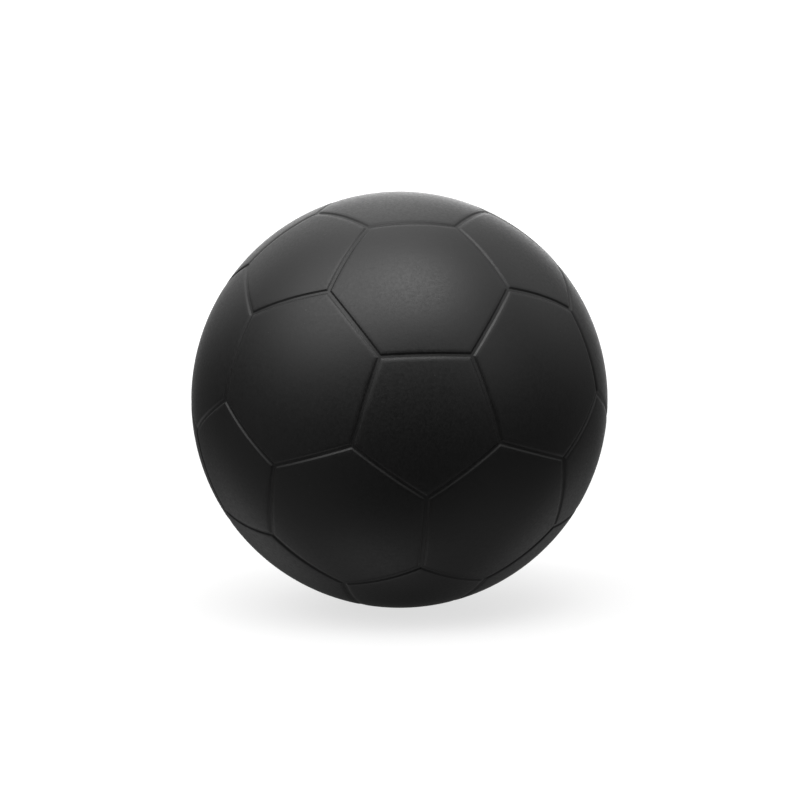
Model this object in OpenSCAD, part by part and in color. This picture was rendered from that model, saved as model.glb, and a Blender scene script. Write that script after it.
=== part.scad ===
// Inflatable rubber friction ball for turning screw-down watch case backs.
// Millimetres. The origin is the centre of the ball. +Y runs along the
// inflation valve and out of its needle hole, +Z is up and X is level.
//
// From the outside in: a moulded cover whose relief of 12 five-sided and
// 20 six-sided panels stands on a round carcass, an airtight bladder, a
// reinforcing patch round the valve, the valve housing, and the self-sealing
// plug that the inflation needle is pushed through.

/* [Ball] */
// Diameter of the inflated ball, over the panels
ball_d = 65; // [60:1:75]
// Wall of the cover at a panel
cover_t = 1.8; // [1.5:0.1:2.4]
// Wall of the bladder
bladder_t = 0.9; // [0.7:0.1:1.2]

/* [Channels] */
// Width of the flat-bottomed channels between the panels, at the top
channel_w = 0.88; // [0.7:0.02:1.2]
// Depth of the channels
channel_depth = 0.22; // [0.16:0.01:0.4]
// How far each wall of a channel leans out between its foot and its top
wall_lean = 0.24; // [0.1:0.01:0.26]

/* [Valve] */
// Bore that grips the inflation needle
needle_d = 1.9; // [1.7:0.1:2.1]
// Depth from the crown of the ball to the closed end of the needle bore
needle_depth = 6.2; // [5.4:0.1:6.6]
// Diameter of the plug's head, which shows in the cover
plug_head_d = 5.8; // [5.2:0.1:6.4]
// Diameter of the plug's stem
plug_stem_d = 3.8; // [3.6:0.1:4.2]
// Diameter of the collar that keeps the plug from blowing out
plug_collar_d = 5.2; // [4.8:0.1:5.6]
// Diameter of the valve housing below its flange
housing_d = 8.4; // [7.8:0.1:9.4]
// Diameter of the flange that is bonded to the patch
flange_d = 13; // [12:0.5:15]
// Diameter of the reinforcing patch
patch_d = 18; // [16:1:22]
// Thickness of the reinforcing patch
patch_t = 0.6; // [0.4:0.1:0.8]

/* [Hidden] */
$fn = 96;

ball_r = ball_d / 2;
floor_r = ball_r - channel_depth;      // floor of the channels
bladder_r = ball_r - cover_t;          // the cover's inside, the bladder's outside
patch_r = bladder_r - bladder_t;       // the bladder's inside
flange_r = patch_r - patch_t;          // the patch's inside
seat_gap = 0.03;                       // between pushed-together rubber faces
hole_r = plug_head_d / 2 + 0.1;        // valve hole through cover, bladder and patch
seat_y = ball_r - 1.05;                // where the plug's head sits on the housing's neck
collar_top = ball_r - 6.9;
collar_end = ball_r - 8.2;
tip_y = ball_r - 10.4;
housing_end = ball_r - 11;
far = 2 * ball_d;                      // larger than the ball

// The panels are those of a truncated icosahedron with edges of 1.
corner_r = sqrt(58 + 18 * sqrt(5)) / 4;
// Angle from a panel's middle to the middle of its edges, seen from the centre
function edge_angle(n) = let (c = asin(0.5 / sin(180 / n) / corner_r)) atan(tan(c) * cos(180 / n));
five_edge = edge_angle(5);
six_edge = edge_angle(6);
ring_a = atan(2);                      // from one five-sided panel to the next
near_a = five_edge + six_edge;         // from a five-sided panel to a six-sided one
far_a = near_a + 2 * six_edge;         // to the six-sided panels of the next ring

// Turns +Z to the valve's axis, +Y
module along_valve() { rotate([-90, 0, 0]) children(); }

// Places a panel at polar angle a from the valve and b round it, turned by t
module at(a, b, t = 0) {
    along_valve() rotate([0, 0, b]) rotate([0, a, 0]) rotate([0, 0, t]) children();
}

// One raised panel of n sides: the cap of the ball inside its n channel walls
module panel(n) {
    first = n == 5 ? 180 / n : 0;
    a = edge_angle(n);
    intersection() {
        sphere(r = ball_r);
        translate([0, 0, ball_r / 2]) cube([ball_d, ball_d, ball_r], center = true);
        intersection_for(k = [0:n - 1])
            rotate([0, 0, first + k * 360 / n]) rotate([0, 180 + a, 0]) inside_wall();
    }
}

// The space on the panel's side, +X, of one channel wall. The wall follows the
// great circle in the YZ plane and leans out, so it is a cone about X.
module inside_wall() {
    top = channel_w / 2;
    foot = top - wall_lean;
    top_rho = sqrt(pow(ball_r, 2) - pow(top, 2));
    foot_rho = sqrt(pow(floor_r, 2) - pow(foot, 2));
    lean = (top - foot) / (top_rho - foot_rho);
    translate([foot - 0.04 * lean, 0, 0]) rotate([0, 90, 0])
        cylinder(h = ball_d, r1 = foot_rho - 0.04, r2 = foot_rho - 0.04 + ball_d / lean);
}

module all_panels() {
    at(0, -90) panel(5);
    at(180, -90) panel(5);
    for (k = [0:4]) {
        at(ring_a, -90 + 72 * k, 180) panel(5);
        at(180 - ring_a, -54 + 72 * k) panel(5);
        at(near_a, -54 + 72 * k) panel(6);
        at(far_a, -54 + 72 * k) panel(6);
        at(180 - near_a, -90 + 72 * k) panel(6);
        at(180 - far_a, -90 + 72 * k) panel(6);
    }
}

// The valve hole and its eased rim, to take from a shell
module valve_hole() {
    along_valve() {
        translate([0, 0, ball_r / 2]) cylinder(r = hole_r, h = ball_r);
        translate([0, 0, ball_r - 0.4]) cylinder(r1 = hole_r, r2 = hole_r + 0.6, h = 0.6);
    }
}

module cover() {
    color([0.07, 0.07, 0.07])
    difference() {
        union() {
            sphere(r = floor_r);
            all_panels();
        }
        sphere(r = bladder_r);
        valve_hole();
    }
}

module bladder() {
    color([0.13, 0.12, 0.11])
    difference() {
        sphere(r = bladder_r);
        sphere(r = patch_r);
        valve_hole();
    }
}

module valve_patch() {
    color([0.17, 0.16, 0.15])
    difference() {
        intersection() {
            sphere(r = patch_r);
            along_valve() cylinder(d = patch_d, h = ball_r);
        }
        sphere(r = flange_r);
        valve_hole();
    }
}

// The plug's outline as [radius, height], larger all round by g
function plug_line(g, top) = [
    [0, top],
    [plug_head_d / 2 + g, top],
    [plug_head_d / 2 + g, seat_y - g],
    [plug_stem_d / 2 + g, seat_y - g],
    [plug_stem_d / 2 + g, collar_top + g],
    [plug_collar_d / 2 + g, collar_top - 0.35 + g],
    [plug_collar_d / 2 + g, collar_end],
    [plug_stem_d / 2 - 0.3 + g, tip_y - g],
    [0, tip_y - g]
];

module valve_housing() {
    color([0.10, 0.10, 0.10])
    difference() {
        union() {
            along_valve() translate([0, 0, housing_end + 1])
                cylinder(r = hole_r - seat_gap, h = seat_y - seat_gap - housing_end - 1);
            intersection() {
                sphere(r = flange_r);
                along_valve() rotate_extrude() polygon([
                    [0, ball_r],
                    [flange_d / 2, ball_r],
                    [flange_d / 2, flange_r - 1.5],
                    [housing_d / 2 + 0.9, flange_r - 1.7],
                    [housing_d / 2 + 0.25, flange_r - 2.1],
                    [housing_d / 2, flange_r - 2.8],
                    [housing_d / 2, housing_end + 0.7],
                    [housing_d / 2 - 0.7, housing_end],
                    [0, housing_end]
                ]);
            }
        }
        along_valve() rotate_extrude() polygon(plug_line(seat_gap, ball_r + 1));
        along_valve() translate([0, 0, housing_end - 1]) cylinder(r = 1.2, h = 3);
    }
}

module valve_plug() {
    color([0.05, 0.05, 0.05])
    difference() {
        intersection() {
            sphere(r = ball_r);
            along_valve() rotate_extrude() polygon(plug_line(0, ball_r + 1));
        }
        along_valve() {
            // needle bore and the funnel that leads into it
            translate([0, 0, ball_r - needle_depth]) cylinder(d = needle_d, h = needle_depth + 1);
            translate([0, 0, ball_r - 0.6]) cylinder(d1 = needle_d, d2 = needle_d + 1.6, h = 0.8);
            // lips that the air pressure holds shut
            translate([-0.85, -0.05, tip_y - 1]) cube([1.7, 0.1, ball_r - needle_depth - tip_y + 1.2]);
        }
    }
}

cover();
bladder();
valve_patch();
valve_housing();
valve_plug();
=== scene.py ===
"""A watch case opening friction ball: an inflatable rubber ball with a moulded
panel-and-channel relief, its bladder, valve patch, valve housing and valve plug.

Everything is in metres in the row frame. Lengths below are in millimetres and
are turned into metres when a mesh is made.
"""

import math

import bmesh
import bpy
import numpy as np
from mathutils import Matrix, Vector


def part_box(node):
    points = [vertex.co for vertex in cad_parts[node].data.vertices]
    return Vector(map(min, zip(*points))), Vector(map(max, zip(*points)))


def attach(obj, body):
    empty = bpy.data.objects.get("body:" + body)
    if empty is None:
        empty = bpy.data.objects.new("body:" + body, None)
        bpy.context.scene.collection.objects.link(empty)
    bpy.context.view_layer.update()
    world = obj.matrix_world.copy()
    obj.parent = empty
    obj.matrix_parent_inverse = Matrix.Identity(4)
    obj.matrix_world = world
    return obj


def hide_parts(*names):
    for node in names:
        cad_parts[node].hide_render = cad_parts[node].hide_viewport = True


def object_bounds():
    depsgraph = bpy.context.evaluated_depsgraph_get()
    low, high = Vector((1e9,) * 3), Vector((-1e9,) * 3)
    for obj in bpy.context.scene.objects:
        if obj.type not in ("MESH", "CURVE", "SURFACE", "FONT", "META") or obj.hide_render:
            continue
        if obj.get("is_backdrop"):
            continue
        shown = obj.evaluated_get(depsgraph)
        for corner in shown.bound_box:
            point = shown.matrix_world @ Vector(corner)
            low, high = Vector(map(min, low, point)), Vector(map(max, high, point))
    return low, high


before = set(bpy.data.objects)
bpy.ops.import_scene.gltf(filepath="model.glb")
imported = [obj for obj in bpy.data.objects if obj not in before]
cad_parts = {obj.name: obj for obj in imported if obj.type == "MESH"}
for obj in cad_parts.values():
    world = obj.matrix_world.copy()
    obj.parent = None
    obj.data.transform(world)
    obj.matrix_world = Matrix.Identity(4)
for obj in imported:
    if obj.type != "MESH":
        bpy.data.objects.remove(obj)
cad_low, cad_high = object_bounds()
scene = bpy.context.scene
MM = 0.001

# ---------------------------------------------------------------- dimensions
# The ball's radius and the bladder's outside come from the imported boxes; the bladder's inside and the patch's follow
# from set thicknesses.
BALL_R = round(max(abs(c) for c in (*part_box("cover")[0], *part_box("cover")[1])) / MM, 1)
COVER_IN = round(max(abs(c) for c in (*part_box("bladder")[0], *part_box("bladder")[1])) / MM, 1)
BLADDER_IN = COVER_IN - 0.9
PATCH_IN = BLADDER_IN - 0.6
FLOOR_R = BALL_R - 0.22
HALF_W = 0.44
HOLE_R = 3.0


# -------------------------------------------------------------------- camera
def make_camera():
    """The photograph's viewing angle: almost level, a little above and to the left of the front panel."""
    look = Vector((0.12371, 0.98769, -0.09577)).normalized()
    up = Vector((0.01954, 0.09407, 0.99537))
    right = look.cross(up).normalized()
    up = right.cross(look)
    cam = bpy.data.cameras.new("camera")
    cam.sensor_width = 36
    cam.lens = 36 * 1875.3 / 800
    cam.shift_x = 0.55 / 800
    cam.shift_y = -0.36 / 800
    cam.clip_start, cam.clip_end = 0.01, 20
    ob = bpy.data.objects.new("camera", cam)
    place = Matrix((right, up, -look)).transposed().to_4x4()
    place.translation = -look * 9.06 * BALL_R * MM
    ob.matrix_world = place
    scene.collection.objects.link(ob)
    scene.camera = ob


make_camera()


# ------------------------------------------------------------------- meshing
def new_piece(name, verts_mm, faces, body="root", smooth=True, floats=None):
    """A mesh object from points in millimetres, riding on a body."""
    mesh = bpy.data.meshes.new(name)
    mesh.from_pydata([tuple(float(c) * MM for c in v) for v in verts_mm], [], faces)
    for key, values in (floats or {}).items():
        at = mesh.attributes.new(key, "FLOAT", "POINT")
        at.data.foreach_set("value", np.asarray(values, np.float32))
    bm = bmesh.new()
    bm.from_mesh(mesh)
    bmesh.ops.remove_doubles(bm, verts=bm.verts, dist=2e-6)
    bmesh.ops.dissolve_degenerate(bm, edges=bm.edges, dist=1e-7)
    bmesh.ops.recalc_face_normals(bm, faces=bm.faces)
    bm.to_mesh(mesh)
    bm.free()
    mesh.polygons.foreach_set("use_smooth", [smooth] * len(mesh.polygons))
    mesh.update()
    ob = bpy.data.objects.new(name, mesh)
    scene.collection.objects.link(ob)
    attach(ob, body)
    return ob


def unit(v):
    v = np.asarray(v, float)
    return v / np.linalg.norm(v, axis=-1, keepdims=True)


def panel_corners():
    """The corner directions of the 12 five-sided and 20 six-sided panels, counter-clockwise from outside. The valve's panel comes first."""
    tip = math.atan(2)

    def towards(a, b):
        return (math.sin(a) * math.cos(b), math.cos(a), -math.sin(a) * math.sin(b))

    ico = [(0, 1, 0), (0, -1, 0)]
    for k in range(5):
        ico.append(towards(tip, math.radians(-90 + 72 * k)))
        ico.append(towards(math.pi - tip, math.radians(-54 + 72 * k)))
    ico = np.array(ico)
    near = [
        [j for j in range(12) if j != i and ico[i] @ ico[j] > 0.4] for i in range(12)
    ]

    def cut(i, j):
        return unit(2 * ico[i] + ico[j])

    panels = []
    for i in range(12):
        panels.append([cut(i, j) for j in near[i]])
    for i in range(12):
        for j in near[i]:
            for k in near[i]:
                if i < j < k and k in near[j]:
                    panels.append(
                        [cut(i, j), cut(j, i), cut(j, k), cut(k, j), cut(k, i), cut(i, k)]
                    )
    out = []
    for corners in panels:
        c = unit(np.sum(corners, 0))
        x = unit(np.cross(c, (0.3, 0.2, 0.93)))
        y = np.cross(c, x)
        order = sorted(range(len(corners)), key=lambda m: math.atan2(corners[m] @ y, corners[m] @ x))
        out.append(np.array([corners[m] for m in order]))
    return out


SIDE = 18  # segments along the straight of a side
ARC = 4  # segments round a corner


def side_shares():
    t = np.linspace(0, 1, SIDE + 1)
    return 0.6 * t + 0.4 * (1 - np.cos(np.pi * t)) / 2


def ring(corners, d, r, rho):
    """A closed loop on the sphere of radius r at distance d inside a panel's edges, with its corners rounded by rho. It starts in the middle of the first corner's arc."""
    n = len(corners)
    walls = [unit(np.cross(corners[i], corners[(i + 1) % n])) for i in range(n)]
    s = d / r
    arcs = []
    for i in range(n):
        a, b = walls[i - 1], walls[i]
        lift = (d + rho) / r
        p = lift / (1 + a @ b) * (a + b)
        t = unit(np.cross(a, b))
        t = t if t @ corners[i] > 0 else -t
        q = p + math.sqrt(max(0.0, 1 - p @ p)) * t
        angle = math.acos(a @ b)
        pts = []
        for k in range(ARC + 1):
            f = k / ARC
            w = -(math.sin((1 - f) * angle) * a + math.sin(f * angle) * b) / math.sin(angle)
            w = w - (w @ q) * q
            w = w / np.linalg.norm(w) if rho > 0 else w * 0
            pts.append(unit(q + rho / r * w))
        for k, wall in ((0, a), (ARC, b)):
            u = pts[k] - (pts[k] @ wall) * wall
            pts[k] = s * wall + math.sqrt(1 - s * s) * unit(u)
        arcs.append(pts)
    loop = []
    shares = side_shares()
    for i in range(n):
        loop += arcs[i][ARC // 2 : ARC]
        a, b, wall = arcs[i][ARC], arcs[(i + 1) % n][0], walls[i]
        e1 = unit(a - (a @ wall) * wall)
        e2 = np.cross(wall, e1)
        bb = b - (b @ wall) * wall
        sweep = math.atan2(bb @ e2, bb @ e1)
        for f in shares[:-1]:
            loop.append(
                s * wall
                + math.sqrt(1 - s * s) * (math.cos(f * sweep) * e1 + math.sin(f * sweep) * e2)
            )
        loop += arcs[(i + 1) % n][0 : ARC // 2]
    return np.array(loop) * r


# The relief's section across half a channel: a flat floor, a small fillet, a wall that leans out, a crisp
# edge and a crown that fades into the panel
DRAFT = 0.24
FILLET_R, EDGE_R = 0.05, 0.05
CROWN, CROWN_W = 0.045, 0.5
CORNER_R = 0.16


def arc_between(before, corner, after, r, steps):
    """Points that round a corner of a flat line with radius r."""
    return rounded([before, corner, after], [0, r, 0], steps)[1:-1]


def section():
    """Rows of distance from the channel's middle, distance from the ball's centre, and plan rounding of the corners."""
    foot, top = (HALF_W - DRAFT, FLOOR_R), (HALF_W, BALL_R - CROWN)
    slope = 2 * CROWN / CROWN_W
    rows = [(0.0, FLOOR_R, 0.0), (foot[0] - FILLET_R - 0.06, FLOOR_R, 0.06)]
    rows += [(d, r, CORNER_R) for d, r in arc_between((0.0, FLOOR_R), foot, top, FILLET_R, 2)]
    rows += [(d, r, CORNER_R) for d, r in arc_between(foot, top, (HALF_W + 0.2, top[1] + 0.2 * slope), EDGE_R, 4)]
    for t in (0.36, 0.6, 0.82, 1.0):
        rows.append((HALF_W + CROWN_W * t, BALL_R - CROWN * (1 - t) ** 2, CORNER_R))
    return rows


def fill_kites(loop, n, centre, add):
    """Quads inside a loop of n sides, as n four-sided fans that meet in the middle."""
    m = (SIDE + ARC) // 2
    count = len(loop)
    for i in range(n):
        at = i * (SIDE + ARC)
        a_edge = [loop[(at - m + k) % count] for k in range(m + 1)]  # middle of the side before -> corner
        b_edge = [loop[(at + m - k) % count] for k in range(m + 1)]  # middle of the side after -> corner
        t = np.linspace(0, 1, m + 1)
        from_a = [centre * (1 - u) + a_edge[0] * u for u in t]
        from_b = [centre * (1 - u) + b_edge[0] * u for u in t]
        grid = {}
        for iu, u in enumerate(t):
            for iv, v in enumerate(t):
                p = (
                    (1 - u) * from_b[iv]
                    + u * a_edge[iv]
                    + (1 - v) * from_a[iu]
                    + v * b_edge[iu]
                    - (1 - u) * (1 - v) * centre
                    - u * (1 - v) * a_edge[0]
                    - (1 - u) * v * b_edge[0]
                    - u * v * a_edge[m]
                )
                grid[iu, iv] = add(unit(p) * BALL_R, 3.0)
        for iu in range(m):
            for iv in range(m):
                yield (grid[iu, iv], grid[iu + 1, iv], grid[iu + 1, iv + 1], grid[iu, iv + 1])


def make_cover():
    verts, edge, inner, faces = [], [], [], []

    def add(p, d, inside=0.0):
        verts.append(p)
        edge.append(d)
        inner.append(inside)
        return len(verts) - 1

    def band(low, high):
        count = len(low)
        for k in range(count):
            m = (k + 1) % count
            faces.append((low[k], low[m], high[m], high[k]))

    rows = section()
    for number, corners in enumerate(panel_corners()):
        n = len(corners)
        loops = [ring(corners, d, r, rho) for d, r, rho in rows]
        ids = [[add(p, rows[k][0]) for p in loop] for k, loop in enumerate(loops)]
        for low, high in zip(ids, ids[1:]):
            band(low, high)
        centre = unit(corners.sum(0)) * BALL_R
        if number:
            faces.extend(fill_kites(loops[-1], n, centre, add))
            continue
        # The valve's panel: the loop eases into a circle, then the hole's rounded rim, its wall and the inside of the ball
        last, ids_last = loops[-1], ids[-1]
        turn = np.arctan2(last[:, 2], last[:, 0])
        rim = 0.3
        rim_y = math.sqrt(BALL_R**2 - (HOLE_R + rim) ** 2)
        ease = 9
        for k in range(1, ease + 1):
            f = k / ease
            circle = np.stack(
                [(HOLE_R + rim) * np.cos(turn), np.full(len(turn), rim_y), (HOLE_R + rim) * np.sin(turn)], 1
            )
            here = [add(p, 3.0) for p in unit((1 - f) * last + f * circle) * BALL_R]
            band(ids_last, here)
            ids_last = here
        profile = [
            (HOLE_R + rim * (1 - math.sin(a)), rim_y - 0.02 - rim * (1 - math.cos(a)))
            for a in np.radians([12, 30, 48, 66, 84, 90])
        ]
        in_y = math.sqrt(COVER_IN**2 - (HOLE_R + 0.1) ** 2)
        profile += [(HOLE_R, rim_y - 0.6), (HOLE_R, in_y + 0.25), (HOLE_R, in_y + 0.1), (HOLE_R + 0.03, in_y + 0.03)]
        start = math.asin((HOLE_R + 0.1) / COVER_IN)
        profile += [(COVER_IN * math.sin(a), COVER_IN * math.cos(a)) for a in np.linspace(start, math.pi, 52)[:-1]]
        for radius, y in profile:
            here = [
                add((radius * math.cos(t), y, radius * math.sin(t)), 3.0, float(radius * radius + y * y < (COVER_IN + 0.3) ** 2))
                for t in turn
            ]
            band(ids_last, here)
            ids_last = here
        pole = add((0, -COVER_IN, 0), 3.0, 1.0)
        for k in range(len(ids_last)):
            faces.append((ids_last[k], ids_last[(k + 1) % len(ids_last)], pole))
    return new_piece("ball_cover", verts, faces, floats={"edge_mm": edge, "inner": inner})


def rounded(points, radii, steps=5):
    """A polyline of [radius, height] with each inner corner rounded to its radius."""
    out = [points[0]]
    for k in range(1, len(points) - 1):
        p, a, b = (np.array(points[m], float) for m in (k, k - 1, k + 1))
        r = radii[k]
        if r <= 0:
            out.append(tuple(p))
            continue
        u, v = a - p, b - p
        la, lb = np.linalg.norm(u), np.linalg.norm(v)
        u, v = u / la, v / lb
        half = math.acos(max(-1, min(1, u @ v))) / 2
        cut = min(r / math.tan(half), 0.48 * la, 0.48 * lb)
        r = cut * math.tan(half)
        centre = p + unit(u + v) * (r / math.sin(half))
        s, e = p + u * cut - centre, p + v * cut - centre
        sweep = math.acos(max(-1, min(1, (s @ e) / (r * r))))
        for j in range(steps + 1):
            f = j / steps
            w = (math.sin((1 - f) * sweep) * s + math.sin(f * sweep) * e) / math.sin(sweep)
            out.append(tuple(centre + w))
    out.append(points[-1])
    return out


def denser(points, most):
    """The same polyline with no stretch longer than most."""
    out = [points[0]]
    for a, b in zip(points, points[1:]):
        a, b = np.array(a, float), np.array(b, float)
        steps = max(1, math.ceil(np.linalg.norm(b - a) / most))
        out += [tuple(a + (b - a) * k / steps) for k in range(1, steps + 1)]
    return out


def turned(name, outline, around=96, closed=True, flute=None):
    """A piece turned round the valve's axis, +Y, from an outline of [radius, height along +Y]. Points on the axis become poles."""
    verts, faces, rows = [], [], []
    for radius, y in outline:
        if radius < 1e-6:
            verts.append((0, y, 0))
            rows.append([len(verts) - 1] * around)
            continue
        row = []
        for k in range(around):
            t = 2 * math.pi * k / around
            verts.append((radius * math.cos(t), y, radius * math.sin(t)))
            row.append(len(verts) - 1)
        rows.append(row)
    pairs = list(zip(rows, rows[1:]))
    if closed:
        pairs.append((rows[-1], rows[0]))
    for low, high in pairs:
        for k in range(around):
            m = (k + 1) % around
            face = []
            for v in (low[k], low[m], high[m], high[k]):
                if v not in face:
                    face.append(v)
            if len(face) > 2:
                faces.append(tuple(face))
    return new_piece(name, verts, faces)


def sphere_line(r, low, high, steps):
    """Points of the circle of radius r about the ball's centre, between two distances from the valve's axis."""
    return [(r * math.sin(a), r * math.cos(a)) for a in np.linspace(math.asin(low / r), math.asin(high / r), steps)]


# --------------------------------------------------------------------- pieces
cover = make_cover()
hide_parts("cover")


def make_bladder():
    gap = 0.06  # clears the flats of both round faces
    out_r, in_r = COVER_IN - gap, BLADDER_IN
    start, start_in = math.asin((HOLE_R + 0.02) / out_r), math.asin((HOLE_R + 0.02) / in_r)
    outer = [(out_r * math.sin(a), out_r * math.cos(a)) for a in np.linspace(start, math.pi, 90)]
    inner = [(in_r * math.sin(a), in_r * math.cos(a)) for a in np.linspace(math.pi, start_in, 90)]
    outer[-1], inner[0] = (0, -out_r), (0, -in_r)
    # eased edges of the valve hole
    lip_out = [(HOLE_R + 0.02, in_r * math.cos(start_in) + 0.25), (HOLE_R + 0.02, out_r * math.cos(start) - 0.12)]
    return turned("bladder_lining", outer + inner[:-1] + [inner[-1]] + lip_out, around=128)


def make_patch():
    r0, r1 = PATCH_IN + 0.03, BLADDER_IN - 0.02
    hole = HOLE_R + 0.02
    top = sphere_line(r1, hole + 0.08, 8.6, 26)
    low = sphere_line(r0, hole + 0.08, 8.9, 26)[::-1]
    ye = math.sqrt(r0 * r0 - 8.9**2)
    edge = [(8.78, top[-1][1] - 0.10), (8.9, top[-1][1] - 0.26), (8.96, ye + 0.14), (8.95, ye + 0.04)]
    bore = [(hole + 0.02, low[-1][1] + 0.02), (hole, low[-1][1] + 0.1), (hole, top[0][1] - 0.1), (hole + 0.02, top[0][1] - 0.02)]
    return turned("valve_patch_disc", top + edge + low + bore, around=128)


SEAT_Y = BALL_R - 1.05
COLLAR_TOP, COLLAR_END, TIP_Y, HOUSING_END = BALL_R - 6.9, BALL_R - 8.2, BALL_R - 10.4, BALL_R - 11


def make_housing():
    g = 0.03
    neck = HOLE_R - g
    fr = PATCH_IN - 0.01
    dome = sphere_line(fr, neck + 0.12, 6.38, 14)
    outside = [(neck, SEAT_Y - g), (neck, dome[0][1] + 0.1)] + dome
    yf = fr
    outside += [(6.5, dome[-1][1] - 0.16), (6.5, yf - 1.5), (5.1, yf - 1.7), (4.45, yf - 2.1), (4.2, yf - 2.8), (4.2, HOUSING_END + 0.7), (3.5, HOUSING_END), (1.2, HOUSING_END)]
    n_dome = len(dome)
    radii = [0.0] * 2 + [0.0] * n_dome + [0.1, 0.12, 0.3, 0.5, 0.7, 0.25, 0.25, 0.15]
    inside = [(1.2, TIP_Y - g), (1.6 + g, TIP_Y - g), (2.6 + g, COLLAR_END), (2.6 + g, COLLAR_TOP - 0.35 + g), (1.9 + g, COLLAR_TOP + g), (1.9 + g, SEAT_Y - g)]
    radii_in = [0.08, 0.12, 0.18, 0.12, 0.15, 0.15]
    line = [(2.4, SEAT_Y - g)] + outside + inside + [(2.4, SEAT_Y - g)]
    full = [0.0, 0.14, 0.12] + radii[2:] + radii_in + [0.0]
    pts = rounded(line, full)[:-1]
    return turned("valve_housing_body", denser(pts, 0.7), around=96)


def make_plug():
    """The plug: domed head, funnel and needle bore, stem, collar, tapered tip and the slit between its lips."""
    head, stem, collar, bore = 2.9, 1.9, 2.6, 0.95
    bottom = BALL_R - 6.2
    dome = sphere_line(BALL_R, 1.72, 2.68, 7)
    line = [(0, bottom), (bore, bottom), (bore, BALL_R - 0.6), (1.55, BALL_R - 0.04)]
    radii = [0, 0.12, 0.35, 0.2]
    line += dome
    radii += [0] * len(dome)
    line += [(head, dome[-1][1] - 0.04), (head, SEAT_Y), (stem, SEAT_Y), (stem, COLLAR_TOP), (collar, COLLAR_TOP - 0.35), (collar, COLLAR_END), (stem - 0.3, TIP_Y), (0, TIP_Y)]
    radii += [0.18, 0.12, 0.2, 0.15, 0.12, 0.2, 0.25, 0]
    pts = denser(rounded(line, radii), 0.45)
    plug = turned("valve_plug_body", pts, around=96, closed=False)
    # the slit between the lips, from the bore's closed end to the tip
    cut = bpy.data.meshes.new("cut")
    bm = bmesh.new()
    bmesh.ops.create_cube(bm, size=1.0)
    low, high = TIP_Y - 1, bottom + 0.2
    for v in bm.verts:
        v.co = Vector((v.co.x * 1.7 * MM, (v.co.y * (high - low) + (high + low) / 2) * MM, v.co.z * 0.1 * MM))
    bm.to_mesh(cut)
    bm.free()
    tool = bpy.data.objects.new("cut", cut)
    scene.collection.objects.link(tool)
    mod = plug.modifiers.new("slit", "BOOLEAN")
    mod.operation, mod.object, mod.solver = "DIFFERENCE", tool, "EXACT"
    dg = bpy.context.evaluated_depsgraph_get()
    done = bpy.data.meshes.new_from_object(plug.evaluated_get(dg), depsgraph=dg)
    plug.modifiers.clear()
    plug.data = done
    bpy.data.objects.remove(tool)
    done.polygons.foreach_set("use_smooth", [True] * len(done.polygons))
    done.set_sharp_from_angle(angle=math.radians(40))
    return plug


bladder = make_bladder()
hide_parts("bladder")
patch = make_patch()
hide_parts("valve_patch")
housing = make_housing()
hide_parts("valve_housing")
plug = make_plug()
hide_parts("valve_plug")


# ------------------------------------------------------------------ materials
class Nodes:
    """A short way to write a node tree."""

    def __init__(self, name):
        self.material = bpy.data.materials.new(name)
        self.material.use_nodes = True
        self.tree = self.material.node_tree
        self.tree.nodes.clear()
        self.shader = self.tree.nodes.new("ShaderNodeBsdfPrincipled")
        self.out = self.tree.nodes.new("ShaderNodeOutputMaterial")
        self.link(self.shader.outputs[0], self.out.inputs["Surface"])
        self.where = self.tree.nodes.new("ShaderNodeTexCoord").outputs["Object"]

    def link(self, a, b):
        self.tree.links.new(a, b)

    def put(self, socket, value):
        if isinstance(value, bpy.types.NodeSocket):
            self.link(value, socket)
        else:
            socket.default_value = value

    def noise(self, size_mm, detail=3.0, rough=0.5, where=None, distortion=0.0):
        n = self.tree.nodes.new("ShaderNodeTexNoise")
        self.link(where or self.where, n.inputs["Vector"])
        n.inputs["Scale"].default_value = 1000.0 / size_mm
        n.inputs["Detail"].default_value = detail
        n.inputs["Roughness"].default_value = rough
        n.inputs["Distortion"].default_value = distortion
        return n.outputs["Fac"]

    def cells(self, size_mm, feature="F1", output="Distance"):
        n = self.tree.nodes.new("ShaderNodeTexVoronoi")
        n.feature = feature
        self.link(self.where, n.inputs["Vector"])
        n.inputs["Scale"].default_value = 1000.0 / size_mm
        return n.outputs[output]

    def remap(self, value, a, b, c, d, smooth=False):
        n = self.tree.nodes.new("ShaderNodeMapRange")
        n.interpolation_type = "SMOOTHSTEP" if smooth else "LINEAR"
        self.put(n.inputs["Value"], value)
        for name, x in zip(("From Min", "From Max", "To Min", "To Max"), (a, b, c, d)):
            self.put(n.inputs[name], x)
        return n.outputs["Result"]

    def maths(self, what, a, b=0.0):
        n = self.tree.nodes.new("ShaderNodeMath")
        n.operation = what
        self.put(n.inputs[0], a)
        self.put(n.inputs[1], b)
        return n.outputs[0]

    def mix(self, share, a, b):
        n = self.tree.nodes.new("ShaderNodeMix")
        n.data_type = "RGBA"
        self.put(n.inputs["Factor"], share)
        for name, x in (("A", a), ("B", b)):
            s = [i for i in n.inputs if i.name == name and i.type == "RGBA"][0]
            self.put(s, (*x, 1.0) if isinstance(x, tuple) else x)
        return [o for o in n.outputs if o.type == "RGBA"][0]

    def attribute(self, name):
        n = self.tree.nodes.new("ShaderNodeAttribute")
        n.attribute_name = name
        return n.outputs["Fac"]

    def bump(self, height, depth_mm, strength=1.0, below=None):
        n = self.tree.nodes.new("ShaderNodeBump")
        n.inputs["Strength"].default_value = strength
        n.inputs["Distance"].default_value = depth_mm * MM
        self.link(height, n.inputs["Height"])
        if below is not None:
            self.link(below, n.inputs["Normal"])
        return n.outputs["Normal"]


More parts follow.
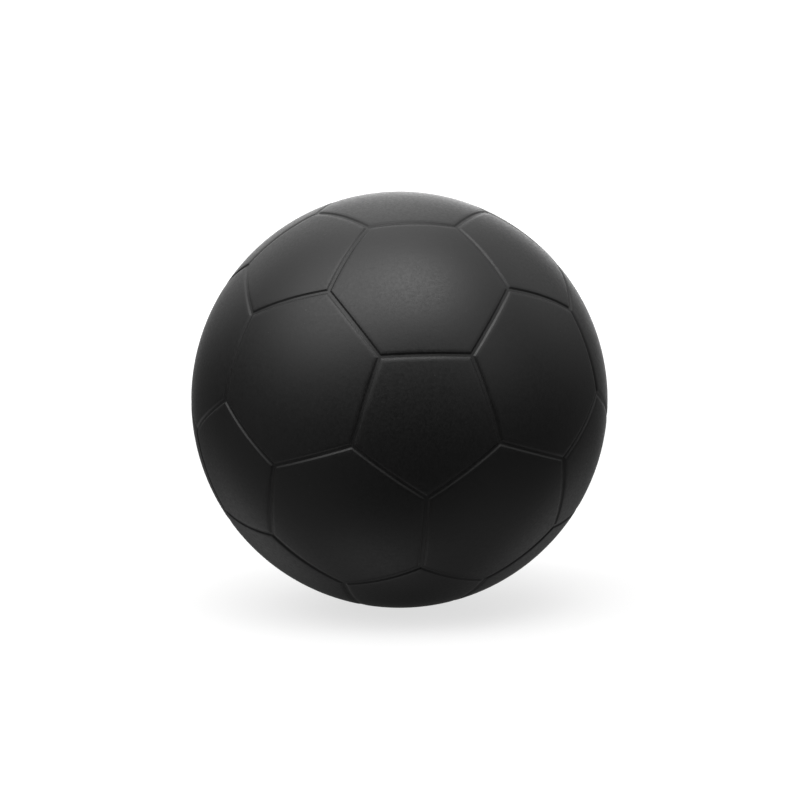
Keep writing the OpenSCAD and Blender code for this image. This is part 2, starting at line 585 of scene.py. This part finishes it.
def cover_material():
    m = Nodes("cover_rubber_matte")
    edge = m.attribute("edge_mm")
    inner = m.attribute("inner")
    broad = m.noise(9.0, 2.0)
    fine = m.noise(1.1, 4.0, 0.6)
    grain = m.noise(0.42, 4.0, 0.7)
    # colour: carbon-black rubber with a fine even grain, a little paler where dust stays in the channels
    tone = m.mix(m.remap(grain, 0.34, 0.66, 0, 1), (0.0121, 0.0121, 0.0121), (0.0160, 0.0160, 0.0160))
    tone = m.mix(m.remap(broad, 0.3, 0.7, 0, 0.25), tone, (0.0170, 0.0170, 0.0170))
    tone = m.mix(m.remap(fine, 0.45, 0.75, 0, 0.3), tone, (0.0170, 0.0170, 0.0170))
    low = m.remap(edge, 0.20, 0.46, 1, 0, True)
    dust = m.maths("MULTIPLY", low, m.remap(m.noise(2.6, 3.0), 0.45, 0.7, 0, 0.15))
    tone = m.mix(dust, tone, (0.050, 0.050, 0.049))
    # a few tiny smooth specks, which glint in the light and vanish out of it
    near = m.cells(1.25)
    pick = m.tree.nodes.new("ShaderNodeSeparateColor")
    m.link(m.cells(1.25, output="Color"), pick.inputs[0])
    speck = m.maths("MULTIPLY", m.remap(near, 0.050, 0.088, 1, 0), m.remap(pick.outputs[0], 0.70, 0.701, 0, 1))
    speck = m.maths("MULTIPLY", speck, m.remap(m.noise(14.0, 1.0), 0.40, 0.58, 0, 0.7))
    tone = m.mix(speck, tone, (0.055, 0.055, 0.055))
    tone = m.mix(m.maths("MULTIPLY", inner, 0.6), tone, (0.034, 0.032, 0.030))
    m.link(tone, m.shader.inputs["Base Color"])
    # finish: matte, rubbed a little smoother along the panels' edges
    worn = m.remap(m.maths("ABSOLUTE", m.maths("SUBTRACT", edge, 0.55)), 0.04, 0.25, 1, 0, True)
    rough = m.maths("ADD", m.remap(grain, 0.3, 0.7, 0.338, 0.512), m.remap(broad, 0.3, 0.7, -0.008, 0.008))
    rough = m.maths("SUBTRACT", rough, m.maths("MULTIPLY", worn, 0.02))
    rough = m.maths("SUBTRACT", rough, m.maths("MULTIPLY", speck, 0.16))
    m.link(rough, m.shader.inputs["Roughness"])
    m.shader.inputs["IOR"].default_value = 1.5
    # moulded grain
    skin = m.bump(m.noise(3.5, 3.0, 0.5), 0.006)
    skin = m.bump(fine, 0.008, below=skin)
    skin = m.bump(grain, 0.011, below=skin)
    m.link(skin, m.shader.inputs["Normal"])
    return m.material


def plug_material():
    m = Nodes("plug_rubber_satin")
    blot = m.noise(1.6, 3.0)
    tone = m.mix(m.remap(blot, 0.35, 0.7, 0, 1), (0.0150, 0.0150, 0.0155), (0.0210, 0.0208, 0.0205))
    powder = m.remap(m.noise(0.5, 4.0, 0.7), 0.56, 0.75, 0, 0.25)
    tone = m.mix(powder, tone, (0.07, 0.068, 0.064))
    m.link(tone, m.shader.inputs["Base Color"])
    m.link(m.remap(m.noise(0.8, 4.0), 0.3, 0.7, 0.36, 0.50), m.shader.inputs["Roughness"])
    m.shader.inputs["IOR"].default_value = 1.5
    m.link(m.bump(m.noise(0.22, 3.0, 0.6), 0.004, below=m.bump(m.noise(1.3, 2.0), 0.012)), m.shader.inputs["Normal"])
    return m.material


def housing_material():
    m = Nodes("housing_rubber_moulded")
    flow = m.noise(2.4, 4.0, 0.55, distortion=1.2)
    tone = m.mix(m.remap(flow, 0.35, 0.68, 0, 1), (0.026, 0.026, 0.026), (0.040, 0.039, 0.037))
    m.link(tone, m.shader.inputs["Base Color"])
    m.link(m.remap(flow, 0.3, 0.7, 0.40, 0.56), m.shader.inputs["Roughness"])
    m.shader.inputs["IOR"].default_value = 1.5
    m.link(m.bump(m.noise(0.3, 3.0, 0.6), 0.006, below=m.bump(flow, 0.015)), m.shader.inputs["Normal"])
    return m.material


def bladder_material():
    m = Nodes("bladder_rubber_talced")
    cloud = m.noise(6.0, 5.0, 0.6)
    speck = m.noise(0.7, 4.0, 0.7)
    tone = m.mix(m.remap(cloud, 0.35, 0.7, 0, 1), (0.030, 0.027, 0.025), (0.045, 0.041, 0.038))
    talc = m.maths("MULTIPLY", m.remap(cloud, 0.45, 0.72, 0, 0.7), m.remap(speck, 0.4, 0.7, 0.2, 1))
    tone = m.mix(talc, tone, (0.17, 0.165, 0.155))
    m.link(tone, m.shader.inputs["Base Color"])
    m.link(m.remap(talc, 0, 0.7, 0.55, 0.85), m.shader.inputs["Roughness"])
    m.shader.inputs["IOR"].default_value = 1.5
    creases = m.noise(8.0, 2.0, 0.5, distortion=2.0)
    m.link(m.bump(speck, 0.01, below=m.bump(creases, 0.05)), m.shader.inputs["Normal"])
    return m.material


def patch_material():
    m = Nodes("patch_rubber_sheet")
    split = m.tree.nodes.new("ShaderNodeSeparateXYZ")
    m.link(m.where, split.inputs[0])
    warp = m.maths("SINE", m.maths("MULTIPLY", split.outputs["X"], 2 * math.pi * 1000 / 0.5))
    weft = m.maths("SINE", m.maths("MULTIPLY", split.outputs["Z"], 2 * math.pi * 1000 / 0.5))
    weave = m.maths("MULTIPLY", warp, weft)
    blot = m.noise(3.0, 4.0)
    tone = m.mix(m.remap(blot, 0.3, 0.7, 0, 1), (0.038, 0.035, 0.033), (0.055, 0.052, 0.049))
    tone = m.mix(m.remap(weave, -1, 1, 0, 0.25), tone, (0.075, 0.072, 0.068))
    m.link(tone, m.shader.inputs["Base Color"])
    m.link(m.remap(blot, 0.3, 0.7, 0.62, 0.78), m.shader.inputs["Roughness"])
    m.shader.inputs["IOR"].default_value = 1.5
    m.link(m.bump(weave, 0.02, below=m.bump(m.noise(0.4, 3.0), 0.01)), m.shader.inputs["Normal"])
    return m.material


for ob, make in (
    (cover, cover_material),
    (plug, plug_material),
    (housing, housing_material),
    (bladder, bladder_material),
    (patch, patch_material),
):
    ob.data.materials.clear()
    ob.data.materials.append(make())


# ---------------------------------------------------------- floor and lights
def make_floor():
    """A plain pale floor that curves up into a sweep far behind, all round. It lights nothing: the glows do."""
    outline = [(0.0, 0.0), (0.05, 0.0), (0.12, 0.0), (0.25, 0.0), (0.5, 0.0), (0.9, 0.0)]
    outline += [(0.9 + 0.6 * math.sin(a), 0.6 - 0.6 * math.cos(a)) for a in np.radians(np.arange(6, 91, 6))]
    outline += [(1.5, 1.0), (1.5, 1.8)]
    verts, faces, around = [(0.0, 0.0, 0.0)], [], 96
    for radius, z in outline[1:]:
        for k in range(around):
            t = 2 * math.pi * k / around
            verts.append((radius * math.cos(t), radius * math.sin(t), z))
    for k in range(around):
        faces.append((0, 1 + k, 1 + (k + 1) % around))
        for row in range(len(outline) - 2):
            low, m = 1 + row * around, (k + 1) % around
            faces.append((low + k, low + around + k, low + around + m, low + m))
    mesh = bpy.data.meshes.new("floor")
    mesh.from_pydata(verts, [], faces)
    mesh.polygons.foreach_set("use_smooth", [True] * len(mesh.polygons))
    ob = bpy.data.objects.new("floor", mesh)
    ob.location.z = cad_low.z
    scene.collection.objects.link(ob)
    # white paper that glows a little, as if lit from above by more than the ball's own lamps, so shadows stay pale
    m = Nodes("floor_pale")
    far = m.tree.nodes.new("ShaderNodeVectorMath")
    far.operation = "LENGTH"
    m.link(m.where, far.inputs[0])
    fibre = m.noise(40.0, 3.0)
    tone = m.mix(m.remap(fibre, 0.3, 0.7, 0, 1), (0.34, 0.34, 0.34), (0.36, 0.36, 0.36))
    m.link(tone, m.shader.inputs["Base Color"])
    m.shader.inputs["Roughness"].default_value = 1.0
    m.shader.inputs["Specular IOR Level"].default_value = 0.0
    m.shader.inputs["Emission Color"].default_value = (1, 1, 1, 1)
    m.link(m.remap(far.outputs["Value"], 0.2, 1.1, 0.70, 0.96, True), m.shader.inputs["Emission Strength"])
    mesh.materials.append(m.material)
    ob.visible_diffuse = ob.visible_glossy = ob.visible_shadow = False
    ob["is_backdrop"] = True
    return ob


floor = make_floor()


# Soft light all round the ball, as a sum of broad glows: direction, sharpness, strength.
# The large one is the overhead softbox; the ones behind and below are white card.
GLOWS = [
    ((0.100, -0.350, 0.931), 22.00, 4.848),
    ((0.166, 0.975, 0.145), 22.00, 3.818),
    ((-0.500, -0.277, 0.820), 8.86, 2.950),
    ((0.030, 0.602, 0.798), 17.48, 1.581),
    ((0.716, 0.227, 0.660), 8.94, 0.736),
    ((-0.450, 0.756, 0.476), 22.00, 0.731),
    ((0.621, -0.642, 0.449), 22.00, 0.730),
    ((-0.145, 0.002, -0.989), 22.00, 0.511),
    ((-0.488, 0.664, -0.567), 22.00, 0.497),
    ((0.639, 0.553, -0.535), 22.00, 0.433),
    ((0.520, -0.184, -0.834), 9.33, 0.273),
    ((-0.699, -0.049, -0.713), 5.59, 0.189),
]
BASE_GLOW = 0.0012


def make_world():
    world = bpy.data.worlds.new("studio")
    world.use_nodes = True
    tree = world.node_tree
    where = tree.nodes.new("ShaderNodeTexCoord").outputs["Generated"]

    def maths(what, a, b, c=None):
        n = tree.nodes.new("ShaderNodeMath")
        n.operation = what
        for socket, value in zip(n.inputs, (a, b, c)):
            if isinstance(value, bpy.types.NodeSocket):
                tree.links.new(value, socket)
            elif value is not None:
                socket.default_value = value
        return n.outputs[0]

    total = None
    for direction, sharp, strength in GLOWS:
        dot = tree.nodes.new("ShaderNodeVectorMath")
        dot.operation = "DOT_PRODUCT"
        tree.links.new(where, dot.inputs[0])
        dot.inputs[1].default_value = Vector(direction).normalized()
        power = maths("EXPONENT", maths("MULTIPLY_ADD", dot.outputs["Value"], sharp, -sharp), None)
        total = maths("MULTIPLY_ADD", power, strength, BASE_GLOW if total is None else total)
    tree.links.new(total, tree.nodes["Background"].inputs["Strength"])
    tree.nodes["Background"].inputs["Color"].default_value = (1, 1, 1, 1)
    scene.world = world


make_world()
scene.view_settings.view_transform = "Standard"
scene.view_settings.look = "None"

# ------------------------------------------------------------------ sizes, built into a string that nothing uses
vis_low, vis_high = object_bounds()
("{\"cad\": [%s, %s], \"visual\": [%s, %s]}\n"
    % tuple(str([round(float(c), 6) for c in v]) for v in (cad_low, cad_high, vis_low, vis_high)))
